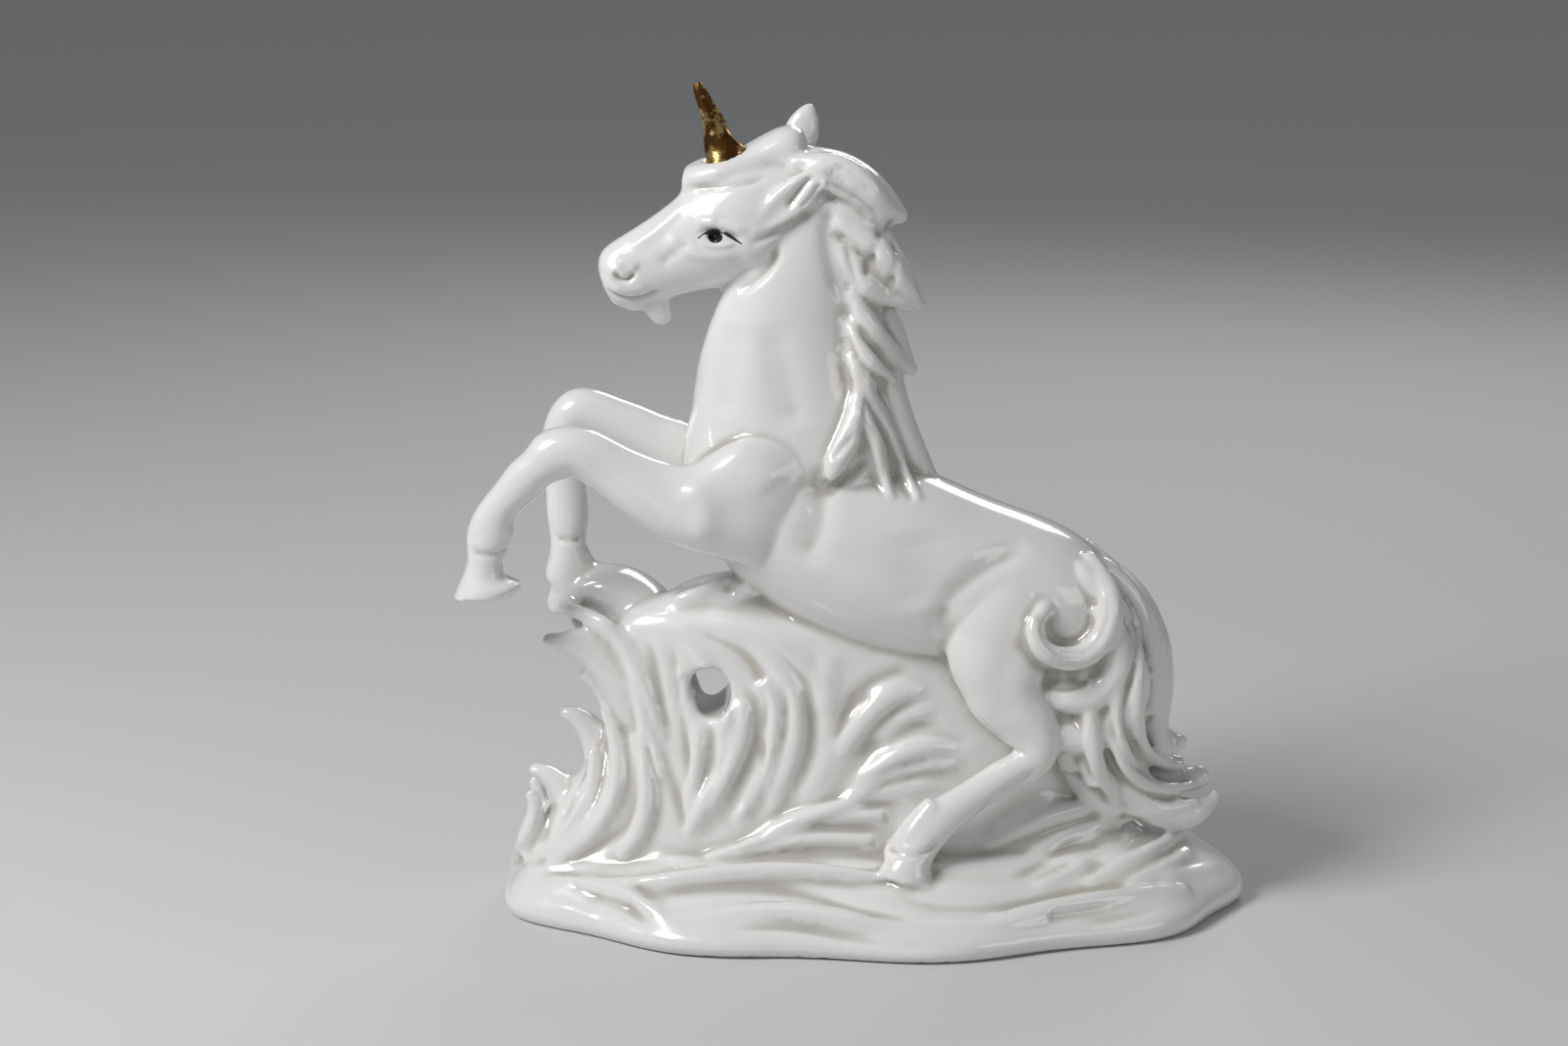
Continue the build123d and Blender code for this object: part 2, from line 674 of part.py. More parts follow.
# Horn: a short flared cone, its three rounded ribs twisting as they climb.
horn_foot = place(*horn_root)
horn_along = (place(*horn_end) - horn_foot).normalized()
with BuildPart() as horn:
    for share, girth_share in horn_shares:
        level = Plane(
            horn_foot + horn_along * (share * horn_length),
            x_dir=Vector(0, 1, 0).cross(horn_along),
            z_dir=horn_along,
        )
        radius = horn_diameter * girth_share / 2
        outline = ring(
            radius,
            radius,
            count=horn_ring_points,
            lobes=horn_lobes,
            lobe=radius * horn_lobe_share,
            phase=share * horn_twist,
        )
        with BuildSketch(level):
            with BuildLine():
                Spline(*outline, periodic=True)
            make_face()
    loft()
    add(head.part, mode=Mode.SUBTRACT)
horn.part.label = "horn"

# Ears: pointed leaves with a channel; the near one lies back, the far one stands.
def ear_levels(root, way, length, shift, size_share):
    """Planes up an ear, each with an oval's points, moved sideways by shift."""
    along = Vector(*way).normalized()
    wide = Vector(0, 1, 0).cross(along).normalized()
    out = along.cross(wide)
    foot = place(*root) + out * shift
    return [
        (
            Plane(foot + along * (share * length), x_dir=wide, z_dir=along),
            ring(
                ear_width * width_share * size_share / 2,
                ear_thickness * thick_share * size_share / 2,
            ),
        )
        for share, width_share, thick_share in ear_shares
    ]


with BuildPart() as ear_near:
    for plane, outline in ear_levels(
        near_ear_root, near_ear_way, near_ear_length, 0, 1
    ):
        with BuildSketch(plane):
            with BuildLine():
                Spline(*outline, periodic=True)
            make_face()
    loft()
    for plane, outline in ear_levels(
        near_ear_root, near_ear_way, near_ear_length, -ear_channel_shift, ear_channel_share
    ):
        with BuildSketch(plane):
            with BuildLine():
                Spline(*outline, periodic=True)
            make_face()
    loft(mode=Mode.SUBTRACT)
    add(head.part, mode=Mode.SUBTRACT)
    add(neck.part, mode=Mode.SUBTRACT)
ear_near.part.label = "ear_near"

with BuildPart() as ear_far:
    for plane, outline in ear_levels(
        far_ear_root, far_ear_way, far_ear_length, 0, 1
    ):
        with BuildSketch(plane):
            with BuildLine():
                Spline(*outline, periodic=True)
            make_face()
    loft()
    for plane, outline in ear_levels(
        far_ear_root, far_ear_way, far_ear_length, ear_channel_shift, ear_channel_share
    ):
        with BuildSketch(plane):
            with BuildLine():
                Spline(*outline, periodic=True)
            make_face()
    loft(mode=Mode.SUBTRACT)
    add(head.part, mode=Mode.SUBTRACT)
    add(neck.part, mode=Mode.SUBTRACT)
ear_far.part.label = "ear_far"

# Forelock: a roll of hair over the brow, with the horn standing in it.
with BuildPart() as forelock:
    for plane, outline in stations(
        forelock_shares, forelock_girth, forelock_breadth, lock_count
    ):
        with BuildSketch(plane):
            with BuildLine():
                Spline(*outline, periodic=True)
            make_face()
    loft()
    add(head.part, mode=Mode.SUBTRACT)
    add(neck.part, mode=Mode.SUBTRACT)
    add(horn.part, mode=Mode.SUBTRACT)
    add(ear_near.part, mode=Mode.SUBTRACT)
    add(ear_far.part, mode=Mode.SUBTRACT)
forelock.part.label = "forelock"

# Beard: one rounded tuft under the chin.
with BuildPart() as beard:
    beard_along = Vector(*beard_way).normalized()
    for share, width_share, thick_share in beard_shares:
        level = Plane(
            place(*beard_place) + beard_along * (share * beard_length),
            x_dir=Vector(0, 1, 0).cross(beard_along),
            z_dir=beard_along,
        )
        outline = ring(beard_width * width_share / 2, beard_thickness * thick_share / 2)
        with BuildSketch(level):
            with BuildLine():
                Spline(*outline, periodic=True)
            make_face()
    loft()
    add(head.part, mode=Mode.SUBTRACT)
beard.part.label = "beard"

# Forelegs: shoulder, forearm, knee, cannon, fetlock and hoof in one taper each.
with BuildPart() as foreleg_near:
    for plane, outline in stations(
        foreleg_near_shares, foreleg_girth, foreleg_breadth, leg_count
    ):
        with BuildSketch(plane):
            with BuildLine():
                Spline(*outline, periodic=True)
            make_face()
    loft()
    add(torso_form.part, mode=Mode.SUBTRACT)
    add(neck.part, mode=Mode.SUBTRACT)
    add(wave.part, mode=Mode.SUBTRACT)
foreleg_near.part.label = "foreleg_near"

with BuildPart() as foreleg_far:
    for plane, outline in stations(
        foreleg_far_shares, foreleg_girth, foreleg_breadth, leg_count
    ):
        with BuildSketch(plane):
            with BuildLine():
                Spline(*outline, periodic=True)
            make_face()
    loft()
    add(torso_form.part, mode=Mode.SUBTRACT)
    add(neck.part, mode=Mode.SUBTRACT)
    add(wave.part, mode=Mode.SUBTRACT)
foreleg_far.part.label = "foreleg_far"

# Hind legs: haunch, stifle, gaskin, hock, cannon, fetlock and hoof; the two are mirrored.
with BuildPart() as hind_leg_near:
    for plane, outline in stations(
        hind_leg_shares, hind_leg_girth, hind_leg_breadth, leg_count
    ):
        with BuildSketch(plane):
            with BuildLine():
                Spline(*outline, periodic=True)
            make_face()
    loft()
    add(torso_form.part, mode=Mode.SUBTRACT)
    add(wave_form.part, mode=Mode.SUBTRACT)
    add(base_form.part, mode=Mode.SUBTRACT)
hind_leg_near.part.label = "hind_leg_near"

with BuildPart() as hind_leg_far:
    far_leg = mirror(hind_leg_near.part, about=Plane.XZ, mode=Mode.PRIVATE)
    add(far_leg.moved(Location((0, slip_gap, 0))))
hind_leg_far.part.label = "hind_leg_far"

# Mane: six overlapping locks that sweep back from the crest of the neck.
with BuildPart() as mane:
    for row in mane_shares:
        for plane, outline in stations(row, lock_girth, lock_breadth, lock_count):
            with BuildSketch(plane):
                with BuildLine():
                    Spline(*outline, periodic=True)
                make_face()
        loft()
    add(neck.part, mode=Mode.SUBTRACT)
    add(torso_form.part, mode=Mode.SUBTRACT)
    add(head.part, mode=Mode.SUBTRACT)
    add(forelock.part, mode=Mode.SUBTRACT)
    add(ear_near.part, mode=Mode.SUBTRACT)
    add(ear_far.part, mode=Mode.SUBTRACT)
mane.part.label = "mane"

# Tail: three long locks that fall to the foot and turn up at their ends.
with BuildPart() as tail:
    for row in tail_shares:
        for plane, outline in stations(row, tail_girth, tail_breadth, tail_count):
            with BuildSketch(plane):
                with BuildLine():
                    Spline(*outline, periodic=True)
                make_face()
        loft()
    add(torso_form.part, mode=Mode.SUBTRACT)
    add(hind_leg_near.part, mode=Mode.SUBTRACT)
    add(hind_leg_far.part, mode=Mode.SUBTRACT)
    add(wave_form.part, mode=Mode.SUBTRACT)
tail.part.label = "tail"

# Tail curl: a loose lock that hooks forward over the haunch.
with BuildPart() as tail_curl:
    for plane, outline in stations(
        tail_curl_shares, tail_curl_girth, tail_curl_breadth, tail_count
    ):
        with BuildSketch(plane):
            with BuildLine():
                Spline(*outline, periodic=True)
            make_face()
    loft()
    add(torso_form.part, mode=Mode.SUBTRACT)
    add(hind_leg_near.part, mode=Mode.SUBTRACT)
    add(tail.part, mode=Mode.SUBTRACT)
tail_curl.part.label = "tail_curl"

pieces = (
    base,
    wave,
    torso,
    neck,
    head,
    eye_near,
    eye_far,
    horn,
    forelock,
    ear_near,
    ear_far,
    beard,
    mane,
    foreleg_near,
    foreleg_far,
    hind_leg_near,
    hind_leg_far,
    tail,
    tail_curl,
)
os.makedirs("parts", exist_ok=True)
for piece in pieces:
    export_step(piece.part, f"parts/{piece.part.label}.step")
    print(piece.part.label, piece.part.is_valid, len(piece.part.solids()), round(piece.part.volume))
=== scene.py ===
"""Looks of a porcelain unicorn figurine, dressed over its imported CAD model.

The fired figure is one glazed surface. So the porcelain nodes are joined for a moment into one
skin, hair and water strands are laid on it, it is smoothed as a glaze smooths a casting, finer
lines are worked in, and it is parted again into one piece for each node.
Places on the figure's photographed side are given as pixels of the photograph, named below.
"""

from math import cos, radians, sin

import bmesh
import bpy
import numpy as np
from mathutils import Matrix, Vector
from mathutils.bvhtree import BVHTree


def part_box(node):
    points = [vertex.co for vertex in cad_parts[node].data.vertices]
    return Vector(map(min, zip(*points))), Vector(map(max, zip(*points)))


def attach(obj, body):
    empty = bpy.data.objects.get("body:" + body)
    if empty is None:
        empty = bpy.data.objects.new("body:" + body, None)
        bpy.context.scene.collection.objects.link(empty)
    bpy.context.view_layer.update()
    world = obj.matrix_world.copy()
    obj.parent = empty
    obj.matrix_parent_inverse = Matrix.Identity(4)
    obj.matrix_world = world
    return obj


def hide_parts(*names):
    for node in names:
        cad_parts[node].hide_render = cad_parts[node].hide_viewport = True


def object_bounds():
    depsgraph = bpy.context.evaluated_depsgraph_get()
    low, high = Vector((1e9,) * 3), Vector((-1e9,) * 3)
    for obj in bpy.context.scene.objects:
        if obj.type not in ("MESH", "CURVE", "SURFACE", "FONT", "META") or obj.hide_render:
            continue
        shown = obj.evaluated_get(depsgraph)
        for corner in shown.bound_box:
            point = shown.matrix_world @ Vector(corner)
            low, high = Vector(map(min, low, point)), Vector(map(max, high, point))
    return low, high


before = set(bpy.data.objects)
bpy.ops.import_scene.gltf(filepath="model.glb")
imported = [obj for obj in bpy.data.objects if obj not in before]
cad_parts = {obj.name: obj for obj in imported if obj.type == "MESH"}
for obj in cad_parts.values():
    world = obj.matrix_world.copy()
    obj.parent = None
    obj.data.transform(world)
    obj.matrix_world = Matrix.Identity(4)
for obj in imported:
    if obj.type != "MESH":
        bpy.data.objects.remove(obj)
cad_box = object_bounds()

mm = 0.001

# The photograph and the camera that took it.
photo_width = 1600
photo_height = 1067
lens_mm = 70.0
sensor_mm = 36.0
pitch = radians(12.5)
camera_place = Vector((-0.020, -0.6834, 0.2415))
pixels_per_radian = lens_mm / sensor_mm * photo_width

# The skin: the size of its cells, and how often it is smoothed, before and after the lines are
# worked in, on the head with its finer cells, on the water, and where water and horse meet.
cell = 0.68 * mm
glaze_strength = 0.5
glaze_passes = 6
after_passes = 2
head_passes = 14
water_passes = 3
border_passes = 4

# A worked line reaches this many widths, is left out where the skin looks away from it, and
# swells from its ends by the taper.
line_reach = 3
line_facing = -0.35
line_taper = 1.6

# Hollows are measured against a smoother skin, and take the full painted shade at this depth.
hollow_passes = 14
hollow_depth = 0.4 * mm

# The pieces: their thin wall, how far unseen faces are merged, how near a node's surface is to
# its skin, and the fewest faces that are a patch of their own.
wall = 0.35 * mm
inner_merges = 2
underside_merges = 4
node_margin = 6 * mm
smallest_patch = 600

# Nodes that are one glazed surface in the real figure.
glazed_nodes = (
    "base",
    "wave",
    "torso",
    "neck",
    "head",
    "forelock",
    "ear_near",
    "ear_far",
    "beard",
    "mane",
    "foreleg_near",
    "foreleg_far",
    "hind_leg_near",
    "hind_leg_far",
    "tail",
    "tail_curl",
)


def strand(places, both=True, depth=None):
    """A strand that stands proud: pixels and radius in mm along it, on the photographed side.

    With both, the hidden side has the same strand. With a depth in mm the strand lies that far
    to the near side of the middle; without one it is laid on what is behind it.
    """
    return {"places": places, "both": both, "depth": depth}


water_strands = [
    strand([(524, 880, 1.2), (534, 852, 1.8), (548, 824, 2.2), (552, 800, 2.0), (542, 792, 1.6)]),
    strand([
        (676, 790, 1.0), (668, 745, 1.8), (657, 700, 2.0), (637, 655, 2.1), (606, 628, 2.2),
        (574, 620, 2.0),
    ]),
    strand([(700, 832, 0.8), (710, 790, 1.8), (714, 752, 1.9), (704, 712, 1.6), (694, 684, 1.2)]),
    strand([(690, 612, 1.6), (718, 606, 2.6), (748, 598, 3.0), (770, 600, 2.0)]),
    strand([(720, 876, 0.9), (776, 860, 1.9), (836, 852, 2.2), (892, 858, 1.6)]),
    strand([(1060, 904, 0.9), (1106, 884, 1.8), (1142, 862, 2.0), (1160, 846, 1.2)]),
    strand([(1110, 902, 0.9), (1154, 878, 1.8), (1190, 858, 2.0), (1212, 848, 1.2)]),
    strand([(1150, 904, 0.9), (1186, 886, 1.6), (1214, 868, 1.2)]),
]

hair_strands = [
    # crest of the neck, from the poll down
    strand([
        (806, 168, 1.6), (836, 164, 2.6), (866, 172, 3.0), (888, 192, 2.8), (905, 212, 2.0),
        (920, 219, 0.9),
    ]),
    strand([(838, 184, 1.2), (862, 196, 2.2), (884, 212, 2.4), (905, 222, 1.6)]),
    strand([(842, 208, 1.0), (864, 220, 2.0), (886, 230, 1.8), (900, 232, 1.0)]),
    strand([(850, 224, 1.2), (876, 240, 2.6), (900, 256, 2.8), (918, 280, 2.4), (934, 302, 1.3)]),
    strand([(858, 248, 1.2), (868, 270, 2.4), (884, 292, 2.6), (906, 306, 2.0), (926, 311, 1.0)]),
    strand([(866, 300, 1.4), (882, 324, 2.4), (900, 348, 2.4), (918, 368, 1.9), (930, 378, 0.9)]),
    strand([(862, 326, 1.2), (874, 352, 2.2), (892, 374, 2.2), (910, 388, 1.3)]),
    strand([
        (862, 356, 1.2), (876, 388, 2.2), (894, 420, 2.3), (908, 452, 2.1), (922, 484, 1.7),
        (938, 510, 0.9),
    ]),
    strand([(876, 420, 1.0), (890, 452, 1.9), (900, 484, 1.8), (910, 508, 0.9)]),
    strand([
        (868, 330, 2.0), (884, 372, 3.2), (894, 412, 3.4), (906, 452, 3.2), (924, 486, 2.4),
        (946, 506, 1.2),
    ], depth=3),
    strand([(880, 400, 1.6), (890, 440, 2.6), (896, 476, 2.6), (908, 506, 1.2)], depth=10),
]

hoof_strands = [
    strand([(496, 570, 4.2), (495, 584, 4.8), (494, 598, 5.4)], both=False, depth=12.6),
    strand([(956, 818, 2.6), (945, 834, 3.8), (934, 854, 5.2), (925, 878, 6.2)], depth=24.0),
]

tail_strands = [
    strand([
        (1130, 620, 2.4), (1146, 672, 4.0), (1128, 704, 4.2), (1098, 714, 3.9),
        (1070, 710, 2.8), (1050, 703, 1.2),
    ], depth=15),
    strand([(1080, 640, 2.8), (1086, 690, 3.6), (1084, 740, 3.4), (1092, 786, 2.6)], depth=12),
    strand([(1070, 660, 2.4), (1069, 690, 3.2), (1072, 720, 2.6)], depth=12),
    strand([(1086, 768, 2.2), (1100, 794, 3.0), (1118, 814, 3.0), (1142, 830, 2.0)], depth=9),
    strand([(1104, 640, 2.8), (1110, 690, 3.8), (1106, 745, 3.8), (1120, 800, 3.0)], depth=13),
    strand([(1130, 640, 2.8), (1134, 700, 3.8), (1128, 756, 3.6), (1146, 806, 2.8)], depth=10),
    strand([
        (1108, 566, 2.0), (1132, 600, 3.0), (1134, 632, 3.2), (1122, 660, 3.2),
        (1096, 674, 3.0), (1066, 668, 2.6), (1052, 648, 2.0), (1056, 628, 1.2),
    ], both=False),
    strand([
        (1112, 566, 1.5), (1146, 594, 2.6), (1172, 634, 2.8), (1180, 684, 2.5),
        (1174, 728, 2.0),
    ]),
    strand([
        (1120, 590, 1.4), (1146, 624, 2.4), (1160, 672, 2.5), (1158, 722, 2.3),
        (1162, 762, 2.1), (1186, 782, 1.5), (1210, 780, 0.9),
    ]),
    strand([
        (1118, 620, 1.4), (1138, 664, 2.4), (1142, 712, 2.5), (1140, 756, 2.4),
        (1154, 792, 2.2), (1188, 808, 1.8), (1222, 800, 1.0),
    ]),
    strand([
        (1112, 690, 1.2), (1112, 740, 2.2), (1118, 786, 2.4), (1142, 820, 2.3),
        (1182, 830, 2.0), (1222, 818, 1.2),
    ]),
    strand([(1090, 740, 1.0), (1092, 780, 1.8), (1104, 812, 2.0), (1130, 836, 1.4)]),
]


def line(places, width, height, other=None, both=True, taper=True):
    """A line worked into the smoothed skin: pixels, then width and height in mm.

    A height below 0 is a groove. A second width makes the line steeper on one side.
    """
    return {
        "places": places,
        "widths": (width, other or width),
        "height": height,
        "both": both,
        "taper": taper,
    }


face_lines = [
    line([(706, 226), (722, 226), (742, 230), (764, 238)], 1.1, 0.75),
    line([(708, 240), (718, 236), (730, 234), (744, 238), (756, 246)], 0.55, -0.45),
    line([(712, 247), (724, 251), (738, 251), (752, 247)], 0.55, 0.35),
    line([(704, 246), (688, 258), (672, 270)], 1.3, -0.5),
    line([(756, 262), (726, 262), (700, 256), (676, 246)], 1.6, 0.5),
    line([(790, 246), (792, 262), (778, 282), (752, 298)], 1.2, -0.8),
    line([(626, 277), (632, 286), (642, 286), (648, 277)], 0.7, -1.2),
    line([(628, 268), (640, 267), (651, 274)], 1.1, 0.7),
    line([(620, 295), (630, 303), (646, 306), (662, 302), (676, 295)], 0.6, -1.1),
    line([(622, 304), (638, 312), (658, 310)], 0.9, 0.5),
    line([(624, 291), (640, 297), (660, 293)], 1.1, 0.4),
    line([(802, 214), (811, 200), (823, 185), (832, 178)], 0.8, -0.8),
    line([(816, 214), (830, 200), (838, 185)], 0.7, -0.6),
    line([(764, 250), (790, 238), (812, 226), (834, 212)], 1.1, -0.9),
    line([(700, 206), (684, 222), (664, 240), (642, 254)], 1.4, 0.5),
    line([(700, 190), (730, 192), (762, 188), (784, 180)], 0.9, -0.7),
]

limb_lines = [
    line([(474, 560), (488, 566), (504, 566), (518, 561)], 0.8, -0.9, taper=False),
    line([(560, 546), (574, 551), (590, 551), (602, 546)], 0.8, -0.8, both=False, taper=False),
    line([(520, 540), (526, 552), (520, 562)], 1.2, 0.7, both=False),
    line([(906, 866), (924, 874), (944, 872), (956, 862)], 0.8, -0.7, taper=False),
    line([(600, 470), (640, 500), (676, 535), (700, 560)], 1.8, -0.5, both=False),
    line([(838, 470), (838, 510), (832, 550), (812, 572)], 3.2, -1.1),
    line([(750, 330), (742, 380), (738, 428)], 4.0, -0.6),
    line([(788, 330), (798, 380), (812, 440)], 4.0, -0.7),
    line([(716, 372), (708, 405), (700, 440)], 3.0, -0.4),
    line([(700, 492), (720, 515), (720, 535), (708, 555)], 3.4, 0.9),
    line([(745, 455), (770, 470), (790, 500)], 4.5, 0.7),
    line([(958, 650), (962, 625), (975, 603), (996, 586), (1020, 570), (1050, 556)], 2.6, -1.0),
    line([(935, 540), (940, 580), (948, 620)], 7.0, -0.7),
    line([(1044, 640), (1020, 690), (1030, 740)], 3.5, -0.5),
    line([(960, 776), (1000, 760), (1044, 762)], 1.6, 0.5),
]

water_lines = [
    line([(566, 621), (605, 631), (632, 652)], 0.9, -0.8),
    line([(588, 607), (617, 627), (630, 645)], 0.8, -0.7),
    line([(646, 618), (664, 657), (674, 710), (686, 760)], 1.0, -0.8),
    line([(650, 695), (670, 751), (690, 809), (698, 850)], 1.0, -1.0),
    line([(640, 700), (648, 760), (648, 830), (611, 868), (579, 880)], 1.0, -0.9),
    line([(618, 752), (622, 790), (610, 835), (570, 873)], 0.9, -0.8),
    line([(592, 755), (600, 800), (590, 840), (556, 868)], 0.8, -0.7),
    line([(559, 809), (567, 824), (553, 862)], 0.8, -0.7),
    line([(700, 640), (729, 651), (767, 671), (784, 718), (778, 748)], 1.0, -1.0),
    line([(776, 748), (779, 786), (758, 830)], 0.9, -0.9),
    line([(745, 735), (735, 785), (716, 830)], 1.0, -0.8),
    line([(684, 650), (690, 700), (700, 760), (702, 800)], 0.9, -0.8),
    line([(800, 690), (804, 740), (785, 790), (764, 838)], 1.0, -0.8),
    line([(820, 700), (828, 740), (816, 790), (786, 838)], 1.8, -0.7),
    line([(826, 690), (850, 730), (846, 780), (818, 826)], 2.6, 0.9),
    line([(720, 626), (775, 640), (812, 668), (836, 700)], 1.6, 0.7),
    line([(850, 662), (842, 700), (850, 730)], 2.4, 0.8),
    line([(861, 723), (875, 705), (899, 688), (930, 680)], 1.0, -0.8),
    line([(846, 760), (864, 726), (890, 706)], 1.2, -0.8),
    line([(875, 775), (902, 750), (930, 738), (960, 736)], 1.1, -0.8),
    line([(890, 762), (920, 734), (956, 722)], 1.6, 0.9),
    line([(861, 809), (909, 785), (954, 774)], 1.0, -0.8),
    line([(830, 832), (870, 816), (920, 804), (962, 800)], 1.6, 0.9),
    line([(820, 846), (870, 826), (920, 818)], 1.0, -0.7),
    line([(758, 868), (808, 853), (852, 846), (899, 850)], 1.0, -0.8),
    line([(700, 880), (750, 868), (800, 862)], 1.0, -0.7),
    line([(1000, 827), (1034, 802), (1062, 785)], 1.2, -0.8),
    line([(1010, 850), (1048, 826), (1080, 812)], 1.4, 0.8),
    line([(1034, 896), (1062, 880), (1104, 854)], 1.1, -0.8),
    line([(1107, 889), (1128, 866), (1150, 850)], 1.1, -0.8),
    line([(560, 896), (620, 905), (662, 926), (700, 952)], 1.4, 0.5),
    line([(541, 893), (585, 889), (617, 900), (640, 918), (665, 950)], 1.2, -0.9, other=2.4),
    line([(559, 902), (576, 906), (600, 918)], 0.9, 0.5),
    line([(562, 922), (588, 927), (610, 940)], 0.9, 0.5),
    line([
        (640, 912), (700, 906), (764, 902), (826, 910), (880, 930), (936, 942),
    ], 1.4, -1.1, other=2.8),
    line([(700, 922), (770, 914), (830, 920), (890, 942)], 1.8, 0.6),
    line([(730, 948), (800, 944), (860, 956), (920, 968), (990, 966)], 1.4, -0.9),
    line([(900, 912), (960, 926), (1030, 924), (1100, 908), (1160, 900)], 1.4, -0.9, other=2.6),
    line([(940, 900), (1000, 908), (1060, 902), (1120, 892)], 1.8, 0.6),
    line([(1100, 944), (1170, 932), (1230, 916)], 1.4, -0.8),
    line([(1180, 896), (1220, 888), (1250, 884)], 1.4, 0.7),
    line([(660, 956), (720, 968), (790, 970)], 1.6, 0.5),
]

hair_lines = [
    line([(842, 185), (862, 192), (881, 207), (900, 224)], 0.9, -0.8),
    line([(840, 197), (864, 207), (888, 221)], 0.9, -0.7),
    line([(850, 168), (874, 178), (892, 198)], 0.9, -0.6),
    line([(898, 236), (893, 255), (886, 272), (882, 286)], 1.0, -0.9),
    line([(912, 244), (914, 270), (908, 296)], 1.0, -0.7),
    line([(848, 236), (866, 250), (870, 276), (880, 298)], 1.1, -0.8),
    line([(875, 331), (888, 351), (903, 371), (918, 381)], 0.9, -0.8),
    line([(863, 343), (875, 366), (893, 384), (911, 394)], 0.9, -0.8),
    line([(873, 386), (888, 412), (901, 437), (911, 462), (921, 490), (931, 515)], 1.0, -0.9),
    line([(893, 422), (908, 445), (918, 467), (924, 483)], 0.9, -0.7),
    line([(884, 400), (880, 440), (890, 470), (898, 500)], 0.9, -0.8),
    line([(883, 467), (875, 480), (860, 488), (845, 505)], 1.0, -0.8),
    line([(873, 442), (860, 457), (848, 470)], 0.9, -0.8),
    line([(866, 300), (862, 340), (864, 380), (866, 410)], 1.6, -0.7),
    line([(848, 200), (842, 240), (850, 280), (860, 310)], 1.8, -0.7),
]

tail_lines = [
    line([
        (1142, 608), (1159, 633), (1162, 653), (1155, 688), (1148, 716), (1147, 743),
        (1159, 764), (1180, 782),
    ], 0.9, -0.9),
    line([(1123, 737), (1128, 768), (1145, 796), (1173, 813), (1204, 816)], 0.9, -0.9),
    line([(1135, 723), (1135, 750), (1149, 775), (1173, 792), (1201, 799)], 0.9, -0.8),
    line([(1120, 560), (1150, 586), (1174, 622), (1184, 670), (1184, 720)], 0.9, -0.7),
    line([(1104, 760), (1110, 790), (1130, 822), (1160, 838)], 0.9, -0.8),
    line([(1065, 700), (1090, 704), (1116, 690), (1134, 660)], 0.8, -0.7, both=False),
    line([
        (1060, 640), (1072, 664), (1098, 672), (1122, 656), (1134, 622), (1126, 590),
    ], 0.6, -0.5, both=False),
]

# The materials' colours.
white_glaze = (0.80, 0.79, 0.775)
# Painted shade: a darker glaze colour laid into the hollows, where shade falls.
painted_shade_glaze = (0.50, 0.48, 0.44)
# A yellowish stain tint at the darkness of the same painted shade, used only in stained hollows.
stained_painted_shade = (0.50, 0.48, 0.36)
gold_bright = (0.86, 0.56, 0.20)
gold_dark = (0.10, 0.045, 0.012)
paint_black = (0.012, 0.010, 0.009)

# The painted eyes: a low almond of paint and a lash line, bedded in the glaze.
eye_u = 730
eye_v = 242
eye_reach_u = 7.4
eye_reach_v = 6.0
eye_rise = 0.30 * mm
lash_places = [(712, 243), (719, 238), (729, 235), (739, 237), (748, 243), (757, 249)]
lash_radii = [0.15, 0.38, 0.42, 0.42, 0.36, 0.12]


def aim(u, v):
    """Where the camera's ray through a pixel points."""
    ahead = Vector((0, cos(pitch), -sin(pitch)))
    up = Vector((0, sin(pitch), cos(pitch)))
    across = (u - photo_width / 2) / pixels_per_radian
    rise = (photo_height / 2 - v) / pixels_per_radian
    return (ahead + Vector((across, 0, 0)) + up * rise).normalized()


def at_depth(u, v, y):
    """Where the camera's ray through a pixel meets an upright plane."""
    way = aim(u, v)
    return camera_place + way * ((y - camera_place.y) / way.y)


def on_surface(tree, pixels):
    """Points where the pixels fall on a surface; past its outline they keep the last depth."""
    found = []
    depth = None
    missed = []
    for index, (u, v) in enumerate(pixels):
        way = aim(u, v)
        hit = tree.ray_cast(camera_place, way)[0]
        if hit is None and depth is None:
            missed.append(index)
            found.append(None)
            continue
        if hit is None:
            hit = camera_place + way * ((depth - camera_place.y) / way.y)
        depth = hit.y
        for late in missed:
            early = aim(*pixels[late])
            found[late] = camera_place + early * ((depth - camera_place.y) / early.y)
        missed = []
        found.append(hit)
    return [point for point in found if point is not None]


def on_far_side(tree, points):
    """The same points on the hidden side of the figure."""
    start = cad_box[1][1] + 10 * mm
    found = []
    for point in points:
        hit = tree.ray_cast(Vector((point.x, start, point.z)), Vector((0, -1, 0)))[0]
        depth = hit.y if hit is not None and hit.y > 0 else -point.y
        found.append(Vector((point.x, depth, point.z)))
    return found


def outer_shells(mesh):
    """A bmesh of a CAD node with its loose triangles merged and any sealed cavity left out."""
    shape = bmesh.new()
    shape.from_mesh(mesh)
    bmesh.ops.remove_doubles(shape, verts=shape.verts, dist=0.001 * mm)
    shape.verts.ensure_lookup_table()
    left = set(shape.verts)
    shells = []
    while left:
        shell = set()
        waiting = [left.pop()]
        while waiting:
            vert = waiting.pop()
            shell.add(vert)
            for edge in vert.link_edges:
                other = edge.other_vert(vert)
                if other in left:
                    left.discard(other)
                    waiting.append(other)
        shells.append(shell)
    largest = max(shells, key=len)
    widths = {id(s): max(v.co.x for v in s) - min(v.co.x for v in s) for s in shells}
    widest = max(widths.values())
    inner = [v for s in shells if widths[id(s)] < widest and s is not largest for v in s]
    bmesh.ops.delete(shape, geom=inner, context="VERTS")
    return shape


def put(name, data):
    """A new object, linked into the scene."""
    thing = bpy.data.objects.new(name, data)
    bpy.context.collection.objects.link(thing)
    return thing


